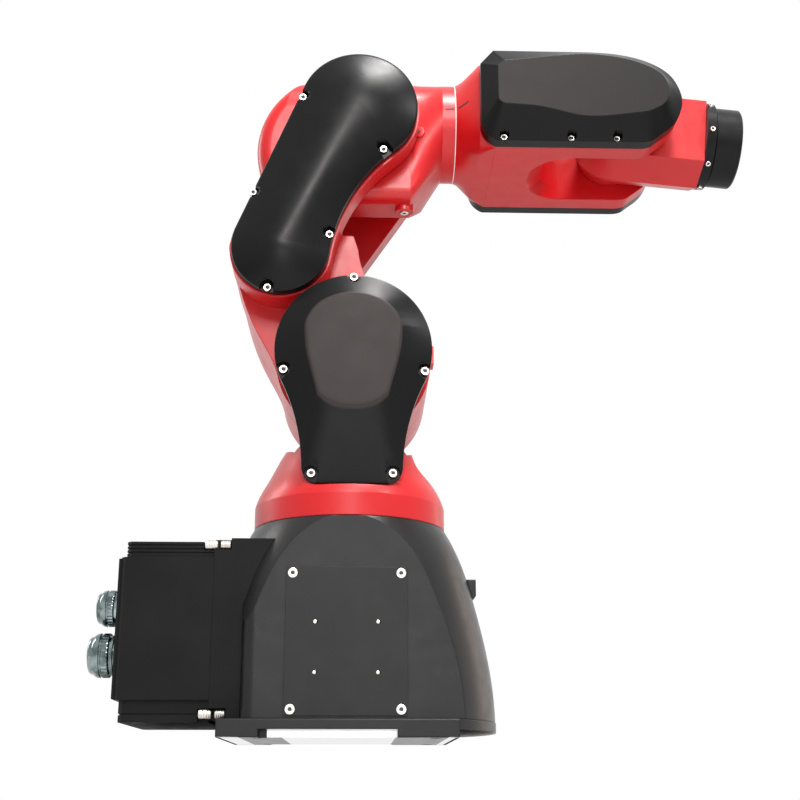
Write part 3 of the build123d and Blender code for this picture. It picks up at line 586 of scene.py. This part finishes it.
shoulderCover = {"axis": (0.0025, 0.366), "radius": 0.0765, "endAngle": -27, "mid": (0.0545, -0.072),
                 "foot": (0.048, -0.118), "bottom": -0.133, "corner": 0.015, "cornerBow": 0.3,
                 "ridgeAngle": 12, "ridgeZ": -0.101,
                 "panelTop": [(0, 0.0536), (0.015, 0.0515), (0.0288, 0.0456), (0.038, 0.0375),
                              (0.0432, 0.0290), (0.0456, 0.0225), (0.0459, 0.017)],
                 "panelSide": [(0.0459, 0.017), (0.0444, 0.0), (0.0408, -0.0185), (0.033, -0.0479)],
                 "panelFoot": [(0.033, -0.0479), (0.024, -0.0545), (0.012, -0.0592), (0, -0.0604)],
                 "panelCentre": (0, -0.005), "panelShares": (0, 0.35, 0.7, 0.9, 0.978),
                 "panelEdge": (0.99, 0.00008), "foldShares": (0.02, 0.045), "foldY": 0.0003,
                 "slope": (0.1, 0.97, 16), "lip": (0.0008, 0.0006),
                 "seatY": -0.075, "rimY": -0.083, "panelY": -0.0955, "notch": 0.0067,
                 "steps": (260, 260, 300), "arcSteps": {"top": 300, "flank": 120, "side": 400, "corner": 60}}
shoulderScrews = {"head": 0.0043, "height": 0.0036, "socket": 0.0018, "seatY": -0.08,
                  "places": [(0.0023, 0.4407), (-0.0647, 0.3445), (0.0718, 0.3439), (-0.0362, 0.2419),
                             (0.041, 0.2424)]}


def circleThrough(a, b, c):
    # centre and radius of the circle through three points
    rows = 2 * np.array([np.subtract(b, a), np.subtract(c, a)])
    sums = np.array([np.dot(b, b) - np.dot(a, a), np.dot(c, c) - np.dot(a, a)])
    centre = np.linalg.solve(rows, sums)
    return centre, np.linalg.norm(centre - a)


def keyholeSide(spec, grow):
    # the right half of the outline in three runs: the round top as far as the ridge, the rest of the round
    # with the hollow side as far as the lower ridge, and what is left of the side with the foot's corner
    r, steps = spec["radius"] + grow, spec["arcSteps"]
    turn = math.radians(spec["endAngle"])
    end = (r * math.cos(turn), r * math.sin(turn))
    mid, foot = (spec["mid"][0] + grow, spec["mid"][1]), (spec["foot"][0] + grow, spec["foot"][1])
    centre, hollow = circleThrough(end, mid, foot)
    side = arcPoints(centre, hollow, *(angleFrom(centre, p) % 360 for p in (end, foot)), steps["side"])
    bottom, corner = spec["bottom"] - grow, spec["corner"] + grow
    bow, cornerEnd = spec["cornerBow"] * corner, (foot[0] - corner, bottom)
    centre, bend = circleThrough(foot, (foot[0] - bow, bottom + bow), cornerEnd)
    cornerArc = arcPoints(centre, bend, *(angleFrom(centre, p) for p in (foot, cornerEnd)), steps["corner"])
    above = side[:, 1] > spec["ridgeZ"]
    top = arcPoints((0, 0), r, 90, spec["ridgeAngle"], steps["top"])
    flank = arcPoints((0, 0), r, spec["ridgeAngle"], spec["endAngle"], steps["flank"])
    runs = (top, np.concatenate([flank, side[above]]),
            np.concatenate([side[above][-1:], side[~above], cornerArc, [(0, bottom)]]))
    return [evenSteps(run, count) for run, count in zip(runs, spec["steps"])]


def closedBothWays(runs, axis):
    # the runs of the right half, then the same points mirrored on the way back up
    half = np.concatenate([runs[0][:-1], runs[1][:-1], runs[2]])
    return np.concatenate([half, (half * [-1, 1])[-2:0:-1]]) + np.array(axis)


def makeShoulderCover(spec, screws):
    rimY, panelY = spec["rimY"], spec["panelY"]
    lipIn, lipY = spec["lip"]
    outline = closedBothWays(keyholeSide(spec, 0), spec["axis"])
    inset = closedBothWays(keyholeSide(spec, -lipIn), spec["axis"])
    # the panel's runs take their end slopes from each other, and from their own mirror image on the middle
    top, side, foot = (np.array(spec[key]) for key in ("panelTop", "panelSide", "panelFoot"))
    neighbours = ((top[1] * [-1, 1], side[1]), (top[-2], None), (None, foot[-2] * [-1, 1]))
    panelRuns = [smoothThrough(run, count, *ends)
                 for run, count, ends in zip((top, side, foot), spec["steps"], neighbours)]
    panel = closedBothWays(panelRuns, spec["axis"])
    middle = np.array(spec["axis"]) + spec["panelCentre"]
    edgeShare, edgeY = spec["panelEdge"]
    rings = [(middle + (panel - middle) * s, panelY) for s in spec["panelShares"]]
    rings.append((middle + (panel - middle) * edgeShare, panelY + edgeY))
    # from the panel's edge to the lip the face is straight: y = panelY + foldY + (lip's y - panelY) * t
    away = np.concatenate([spec["foldShares"], np.linspace(*spec["slope"]), [1.0]])
    rings += [(panel + (inset - panel) * t, panelY + spec["foldY"] + (rimY - lipY - panelY) * t)
              for t in away]
    return coverShell("shoulderShell", rings, outline, rimY, spec, screws, "shoulderPlastic", "turret")


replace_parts(makeBeltCover(beltCover, beltScrews), "belt_cover")
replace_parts(makeShoulderCover(shoulderCover, shoulderScrews), "shoulder_cover")
print("belt and shoulder covers shaped")

# countersunk and cap screws; on the sides seatY is the seat's distance from the middle plane

nearward, farward = (0, -1, 0), (0, 1, 0)
bothSides = ((-1, "Right", nearward), (1, "Left", farward))
panelScrews = {"head": 0.0047, "height": 0.0016, "socket": 0.0018, "seatY": 0.0938,
               "centre": (-0.001, 0.085), "spanX": 0.0495, "spanZ": 0.06075}
lidScrews = {"head": 0.0034, "height": 0.0042, "socket": 0.0016, "seatY": 0.0805,
             "x": (0.154, 0.223, 0.27), "z": 0.5955}

for name, spec, body in (("beltCoverScrews", beltScrews, "upper_arm"),
                         ("shoulderCoverScrews", shoulderScrews, "turret")):
    spots = [(x, spec["seatY"], z) for x, z in spec["places"]]
    screwSet(name, spec, body, spots, [nearward] * len(spots))
for side, label, away in bothSides:
    spots = [(panelScrews["centre"][0] + i * panelScrews["spanX"], side * panelScrews["seatY"],
              panelScrews["centre"][1] + k * panelScrews["spanZ"]) for i in (-1, 1) for k in (-1, 1)]
    screwSet("panelScrews" + label, panelScrews, "base", spots, [away] * len(spots))
    spots = [(x, side * lidScrews["seatY"], lidScrews["z"]) for x in lidScrews["x"]]
    screwSet("lidScrews" + label, lidScrews, "forearm", spots, [away] * len(spots))
print("screws placed")

# wrist ring screws, evenly round the black ring; jointX is joint 5's place on the forearm's axis, and tilt
# and turn are in degrees

forearmAxisZ = 0.640977
ringScrews = {"head": 0.0029, "height": 0.0034, "socket": 0.0013, "radius": 0.0455, "alongAxis": 0.0968,
              "jointX": 0.285, "tilt": 5.5, "turn": -4.0, "count": 8}
tilt = math.radians(ringScrews["tilt"])
wristSpot = np.array([ringScrews["jointX"], 0.0, forearmAxisZ])
wristAlong = np.array([math.cos(tilt), 0.0, -math.sin(tilt)])
wristUp = np.array([math.sin(tilt), 0.0, math.cos(tilt)])
turns = np.radians(ringScrews["turn"] + 360 / ringScrews["count"] * np.arange(ringScrews["count"]))
ringWays = [np.array(nearward) * math.cos(t) + wristUp * math.sin(t) for t in turns]
ringSpots = [wristSpot + wristAlong * ringScrews["alongAxis"] + way * ringScrews["radius"]
             for way in ringWays]
screwSet("wristRingScrews", ringScrews, "wrist", ringSpots, ringWays)

# round connectors: profile of (part of the radius, part of the length) from the seat outwards

plugs = {
    "plugUpper": {"node": "plug_connector_upper", "z": 0.121, "radius": 0.0172, "length": 0.026},
    "plugLower": {"node": "plug_connector_lower", "z": 0.077, "radius": 0.0207, "length": 0.0315},
}
plugShape = {"seatX": -0.2115, "y": -0.028, "segments": 144, "hexRows": (1, 2, 3, 4),
             "knurls": 36, "knurlDepth": 0.025, "knurlRows": (12, 13, 14, 15),
             "profile": [(0.7, 0), (0.9, 0.0), (0.95, 0.02), (0.95, 0.15), (0.9, 0.17), (0.82, 0.19),
                         (0.82, 0.22), (0.94, 0.24), (0.94, 0.28), (0.84, 0.3), (0.84, 0.34), (0.97, 0.36),
                         (1.0, 0.38), (1.0, 0.42), (1.0, 0.5), (1.0, 0.56), (0.95, 0.58), (0.95, 0.62),
                         (1.0, 0.64), (1.0, 0.7), (0.97, 0.76), (0.9, 0.83), (0.86, 0.85), (0.84, 0.92),
                         (0.78, 0.97), (0.66, 1.0), (0.3, 1.0)]}
for name, plug in plugs.items():
    place = np.array([plugShape["seatX"], plugShape["y"], plug["z"]])
    profile = sizedProfile(plugShape["profile"], plug["radius"], plug["length"])
    points, quads, fans = turnedCopies(profile, [place], [(-1, 0, 0)], plugShape["segments"],
                                       plugShape["hexRows"])
    # knurling: the radius sinks and swells as a cosine round the barrel, but not at the two end points
    grip = np.repeat(np.isin(np.arange(len(profile)), plugShape["knurlRows"]), plugShape["segments"])
    grip = np.concatenate([grip, [False, False]])
    away = (points - place) * [0, 1, 1]
    turn = np.arctan2(away[:, 2], away[:, 1])
    swell = 1 - plugShape["knurlDepth"] * (0.5 - 0.5 * np.cos(plugShape["knurls"] * turn)) * grip
    points = points + away * (swell - 1)[:, None]
    shell = buildPiece(name, points, quads, "platedConnector", "base", triangles=fans)
    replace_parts(shell, plug["node"])

# grooved clamp screws in the corner notches of the box: the radius dips by a cosine along the barrel and
# tapers by a share of itself towards each end
clampScrews = {"radius": 0.0046, "groove": 0.00035, "grooves": 5, "taper": 0.12, "endShare": 0.08,
               "spans": ((-0.133, -0.1215), (-0.1185, -0.1095)), "y": 0.075, "z": (0.021, 0.174),
               "steps": 41, "segments": 32}
along = np.linspace(0, 1, clampScrews["steps"])
dip = clampScrews["groove"] * (0.5 - 0.5 * np.cos(2 * math.pi * clampScrews["grooves"] * along))
pastBody = np.maximum(0, np.abs(2 * along - 1) - (1 - clampScrews["endShare"]))
radius = (clampScrews["radius"] - dip) * (1 - clampScrews["taper"] * pastBody / clampScrews["endShare"])
clampSets = []
for start, end in clampScrews["spans"]:
    profile = list(zip(radius.tolist(), (along * (end - start)).tolist()))
    spots = [(start, side * clampScrews["y"], z) for side in (-1, 1) for z in clampScrews["z"]]
    clampSets.append(turnedCopies(profile, spots, [(1, 0, 0)] * len(spots), clampScrews["segments"]))
shifts = (0, len(clampSets[0][0]))
points = np.concatenate([part[0] for part in clampSets])
quads, fans = (np.concatenate([part[k] + shift for part, shift in zip(clampSets, shifts)]) for k in (1, 2))
clamps = buildPiece("clampScrews", points, quads, "clampSteel", "base", triangles=fans)
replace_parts(clamps, "box_clamp_screws")


def pinProfile(spec):
    # a pin starts under the surface, and its sides and crown follow in shares of its radius and height
    return [(spec["radius"], -spec["sunk"])] + sizedProfile(spec["crown"], spec["radius"], spec["height"])


# small pins in the four holes of each service panel
panelPins = {"radius": 0.00168, "height": 0.0007, "sunk": 0.001, "crown": [(1, 0.6), (0.8, 0.9), (0.4, 1)],
             "centreX": -0.001, "x": 0.0285, "z": (0.0565, 0.1015), "seatY": 0.0947, "segments": 20}
for side, label, away in bothSides:
    spots = [(panelPins["centreX"] + k * panelPins["x"], side * panelPins["seatY"], z)
             for k in (-1, 1) for z in panelPins["z"]]
    turnedPiece("panelPins" + label, pinProfile(panelPins), spots, [away] * len(spots), "clampSteel", "base",
                panelPins["segments"])
print("connectors, clamp screws and pins shaped")

# joint 4: a pale seal in the gap, a pair of ink marks across it; a plug and a pin on the elbow casting, the
# pin's hole a flat dark disc of painted shade

seal = {"inner": 0.0495, "outer": 0.0524, "x": (0.10725, 0.10815), "turns": 120}
angle = np.arange(seal["turns"]) * 2 * math.pi / seal["turns"]
corners = [(seal[edge], seal["x"][end])
           for edge, end in (("inner", 0), ("outer", 0), ("outer", 1), ("inner", 1))]
points = np.concatenate([np.stack([np.full(seal["turns"], x), r * np.cos(angle),
                                   forearmAxisZ + r * np.sin(angle)], 1) for r, x in corners])
quads = gridFaces(len(corners), seal["turns"], wrapRows=True, wrapColumns=True)
buildPiece("jointSeal", points, quads, "paleSeal", "elbow")

inkMark = {"half": 0.0008, "sunk": 0.0005, "proud": 0.00025,
           "tube": ((0.0968, 0.6443), (0.1058, 0.6449)), "neck": ((0.1105, 0.6443), (0.1203, 0.648))}
outsideY = -0.4  # nearer than any part of the arm


def surfaceFrom(node, x, z):
    # where a line from the near side first meets a casting, and the surface's normal there
    place, normal = nodes[node].ray_cast((x, outsideY, z), farward)[1:3]
    return np.array(place), np.array(normal)


def inkStrip(name, node, ends, body):
    # a flat bar between two spots of a casting, sunk most of the way into it
    (a, na), (b, nb) = (surfaceFrom(node, x, z) for x, z in ends)
    along = (b - a) / np.linalg.norm(b - a)
    out = (na + nb) / np.linalg.norm(na + nb)
    side = np.cross(out, along)
    corners = [a + side * i * inkMark["half"] + out * k
               for k, pair in ((-inkMark["sunk"], (-1, 1)), (inkMark["proud"], (1, -1))) for i in pair]
    corners += [c + (b - a) for c in corners]
    quads = np.array([(0, 1, 2, 3), (7, 6, 5, 4), (0, 4, 5, 1), (1, 5, 6, 2), (2, 6, 7, 3), (3, 7, 4, 0)])
    buildPiece(name, np.array(corners), quads, "markInkAndPaintedShade", body)


inkStrip("inkMarkTube", "elbow_casting", inkMark["tube"], "elbow")
inkStrip("inkMarkNeck", "forearm_casting", inkMark["neck"], "forearm")

elbowPlug = {"head": 0.0045, "height": 0.0014, "socket": 0.0017, "place": (0.054, -0.022, 0.5386)}
screwSet("elbowPlug", elbowPlug, "elbow", [elbowPlug["place"]], [(0, 0, -1)])
elbowPin = {"spot": (0.069, 0.6195), "radius": 0.0062, "height": 0.0022, "sunk": 0.0015,
            "crown": [(1, 0.6), (0.93, 0.9), (0.8, 1), (0.2, 1)], "segments": 36,
            "hole": [(0.28, 0), (0.28, 1), (0.1, 1)], "holeHeight": 0.0003, "holeSegments": 18}
place, normal = surfaceFrom("elbow_casting", *elbowPin["spot"])
turnedPiece("elbowPin", pinProfile(elbowPin), [place], [normal], "redPaint", "elbow",
            elbowPin["segments"])
# the pin's hole is only a flat dark disc on its crown, painted shade for the hole
hole = sizedProfile(elbowPin["hole"], elbowPin["radius"], elbowPin["holeHeight"])
turnedPiece("elbowPinHoleShade", hole, [place + normal * elbowPin["height"]], [normal], "markInkAndPaintedShade", "elbow",
            elbowPin["holeSegments"])
print("joint seal, marks and elbow fittings placed")

# view, light and ground

cameraLook = {"place": (0.010, -1.288, -0.045), "turn": (106.6, 0.0, -1.79), "lens": 59.0, "sensor": 36,
              "nearest": 0.01}
camera = bpy.data.objects.new("viewCamera", bpy.data.cameras.new("viewCamera"))
camera.data.lens = cameraLook["lens"]
camera.data.sensor_width = cameraLook["sensor"]
camera.data.sensor_fit = "HORIZONTAL"
camera.data.clip_start = cameraLook["nearest"]
camera.location = cameraLook["place"]
camera.rotation_euler = [math.radians(a) for a in cameraLook["turn"]]
bpy.context.scene.collection.objects.link(camera)
bpy.context.scene.camera = camera

lamps = {
    "faceSoftbox": {"place": (0.1, -2.3, 1.6), "aim": (0, 0, 0.45), "size": (0.6, 0.8), "power": 35,
                    "tint": (1, 0.94, 0.92)},
    "topSoftbox": {"place": (0.37, -0.72, 2.1), "aim": (0, 0, 0.5), "size": (0.5, 0.42), "power": 46,
                   "tint": (1, 0.98, 0.97)},
    "rightStrip": {"place": (1.7, 1.3, 0.6), "aim": (0, 0, 0.3), "size": (0.5, 1.1), "power": 2.4,
                   "tint": (1, 0.7, 0.52)},
    "lowSoftbox": {"place": (0.0, -2.7, 0.42), "aim": (0, 0, 0.1), "size": (0.7, 0.45), "power": 5.5,
                   "tint": (1, 1, 1)},
    "leftStrip": {"place": (-1.9, 0.7, 1.3), "aim": (0, 0, 0.4), "size": (0.5, 1.2), "power": 14,
                  "tint": (1, 0.97, 0.95)},
    "sideFill": {"place": (1.3, -1.15, 1.5), "aim": (0, 0, 0.4), "size": (0.35, 0.35), "power": 7,
                 "tint": (1, 1, 1)},
}
for name, lamp in lamps.items():
    light = bpy.data.lights.new(name, "AREA")
    light.shape = "RECTANGLE"
    light.size, light.size_y = lamp["size"]
    light.energy = lamp["power"]
    light.color = lamp["tint"]
    holder = bpy.data.objects.new(name, light)
    holder.location = lamp["place"]
    across, up, along = axesAlong(np.array(lamp["place"]) - np.array(lamp["aim"]))
    holder.rotation_euler = Matrix(np.stack([across, up, along], 1).tolist()).to_euler()
    bpy.context.scene.collection.objects.link(holder)

# white all round for the camera, mirrors and glass, and a dimmer dome for the rest
skyLook = {"tone": (1.0, 1.0, 1.0), "dome": 0.22}
world = bpy.data.worlds.new("studio")
bpy.context.scene.world = world
world.use_nodes = True
tree = world.node_tree
sky = tree.nodes["Background"]
rays = tree.nodes.new("ShaderNodeLightPath")
strength = rays.outputs["Is Camera Ray"]
for other in (rays.outputs["Is Glossy Ray"], rays.outputs["Is Transmission Ray"], skyLook["dome"]):
    strength = mathStep(tree, strength, "MAXIMUM", other)
feed(tree, sky.inputs["Color"], skyLook["tone"])
feed(tree, sky.inputs["Strength"], strength)

# pale floor, seen from above only, because the camera stands below its level
# and open where the base plate covers it, so that the plate's underside isn't shut in the dark
floorLook = {"half": 6.0, "openX": (-0.112, 0.097), "openY": (-0.096, 0.096), "tone": (0.82, 0.82, 0.82),
             "lift": 0.02, "speckScale": 30.0, "rough": 0.7}
mesh = bpy.data.meshes.new("studioFloor")
half = floorLook["half"]
gridX, gridY = np.meshgrid([-half, *floorLook["openX"], half], [-half, *floorLook["openY"], half])
tiles = np.delete(gridFaces(4, 4), 4, axis=0)  # nine tiles without the middle one
mesh.from_pydata(np.stack([gridX.ravel(), gridY.ravel(), 0 * gridX.ravel()], 1).tolist(), [], tiles.tolist())
floor = bpy.data.objects.new("studioFloor", mesh)
bpy.context.scene.collection.objects.link(floor)
mat, tree, shader, coords = startMaterial("floorSheet", floorLook["tone"], floorLook["rough"])
speck = spreadValue(tree, addNoise(tree, coords, floorLook["speckScale"]))
lighter = tuple(c + floorLook["lift"] for c in floorLook["tone"])
feed(tree, shader.inputs["Base Color"], mixColors(tree, speck, floorLook["tone"], lighter))
clear = tree.nodes.new("ShaderNodeBsdfTransparent")
oneSided = tree.nodes.new("ShaderNodeMixShader")
facing = tree.nodes.new("ShaderNodeNewGeometry")
tree.links.new(facing.outputs["Backfacing"], oneSided.inputs["Fac"])
tree.links.new(shader.outputs[0], oneSided.inputs[1])
tree.links.new(clear.outputs[0], oneSided.inputs[2])
tree.links.new(oneSided.outputs[0], tree.nodes["Material Output"].inputs["Surface"])
mesh.materials.append(mat)
bpy.context.scene.view_settings.view_transform = "Standard"
print("camera, lamps and floor set")
